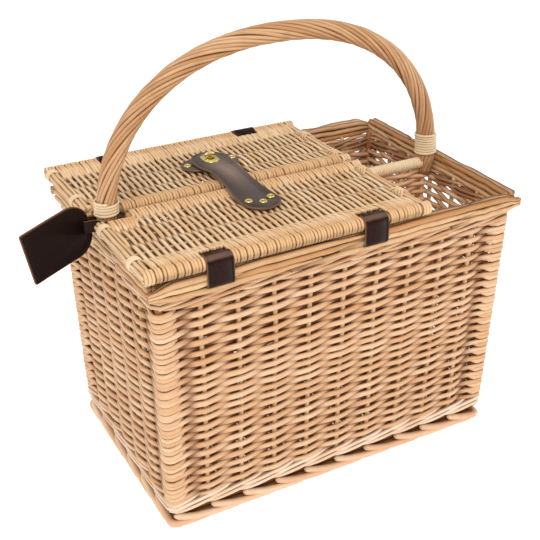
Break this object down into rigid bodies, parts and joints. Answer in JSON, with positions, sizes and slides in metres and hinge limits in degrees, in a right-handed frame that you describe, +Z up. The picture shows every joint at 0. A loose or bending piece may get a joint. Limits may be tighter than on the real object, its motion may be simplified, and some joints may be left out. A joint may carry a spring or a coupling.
{
  "type": "picnic hamper",
  "caption": "Rectangular woven willow hamper with outward-opening lids on leather loops, a roped carrying bow, a strap with a turn lock, a luggage tag and an open divided end bay.",
  "frame": {"origin": "on the ground under the middle of the base", "axes": "+X along the long side towards the open bay, +Y towards the rear lid, +Z up"},
  "size_m": [0.5521, 0.3178, 0.5119],
  "materials": {
    "willow": "buff peeled willow, woven, satin",
    "border_willow": "thick buff willow rods, satin",
    "bow_willow": "roped buff willow rods, satin",
    "cane": "split pale cane, coiled, satin",
    "dark_leather": "dark brown harness leather",
    "brass": "bright brass"
  },
  "bodies": {
    "basket": {"base_panel": "willow", "foot_border_front": "border_willow", "foot_border_rear": "border_willow", "foot_border_left": "border_willow", "foot_border_right": "border_willow", "front_wall": "willow", "rear_wall": "willow", "left_wall": "willow", "right_wall": "willow", "corner_post_front_left": "willow", "corner_post_front_right": "willow", "corner_post_rear_left": "willow", "corner_post_rear_right": "willow", "rim_border_front": "border_willow", "rim_border_rear": "border_willow", "rim_border_left": "border_willow", "rim_border_right": "border_willow", "cross_partition": "willow", "bay_divider": "cane", "carrying_bow": "bow_willow", "bow_binding_left": "cane", "bow_binding_right": "cane", "hinge_loop_front_left": "dark_leather", "hinge_loop_front_right": "dark_leather", "hinge_loop_rear_left": "dark_leather", "hinge_loop_rear_right": "dark_leather"},
    "front_lid": {"front_lid_panel": "willow", "front_lid_left_end": "willow", "front_lid_right_end": "willow", "strap_anchor": "dark_leather", "anchor_rivet_1": "brass", "anchor_rivet_2": "brass", "anchor_rivet_3": "brass"},
    "rear_lid": {"rear_lid_panel": "willow", "rear_lid_left_end": "willow", "rear_lid_right_end": "willow", "lock_patch": "dark_leather", "patch_rivet_1": "brass", "patch_rivet_2": "brass", "lock_plate": "brass"},
    "strap": {"clasp_strap": "dark_leather"},
    "knob": {"turn_knob": "brass"},
    "luggage_tag": {"tag": "dark_leather", "tag_loop": "dark_leather"}
  },
  "joints": [
    {"name": "front_lid_hinge", "type": "hinge", "parent": "basket", "child": "front_lid", "pos_m": [0, -0.1495, 0.3299], "axis": [1, 0, 0], "range_deg": [0, 180]},
    {"name": "rear_lid_hinge", "type": "hinge", "parent": "basket", "child": "rear_lid", "pos_m": [0, 0.1495, 0.3299], "axis": [-1, 0, 0], "range_deg": [0, 180], "deforming": ["clasp_strap"]},
    {"name": "strap_flip", "type": "hinge", "parent": "front_lid", "child": "strap", "pos_m": [-0.05945, -0.042, 0.338], "axis": [1, 0, 0], "range_deg": [0, 150]},
    {"name": "knob_turn", "type": "hinge", "parent": "rear_lid", "child": "knob", "pos_m": [-0.05945, 0.067, 0.348], "axis": [0, 0, 1], "range_deg": [0, 90]},
    {"name": "tag_swing", "type": "hinge", "parent": "basket", "child": "luggage_tag", "pos_m": [-0.2143, 0, 0.3283], "axis": [0, 0, 1], "range_deg": [-52, 18]}
  ]
}
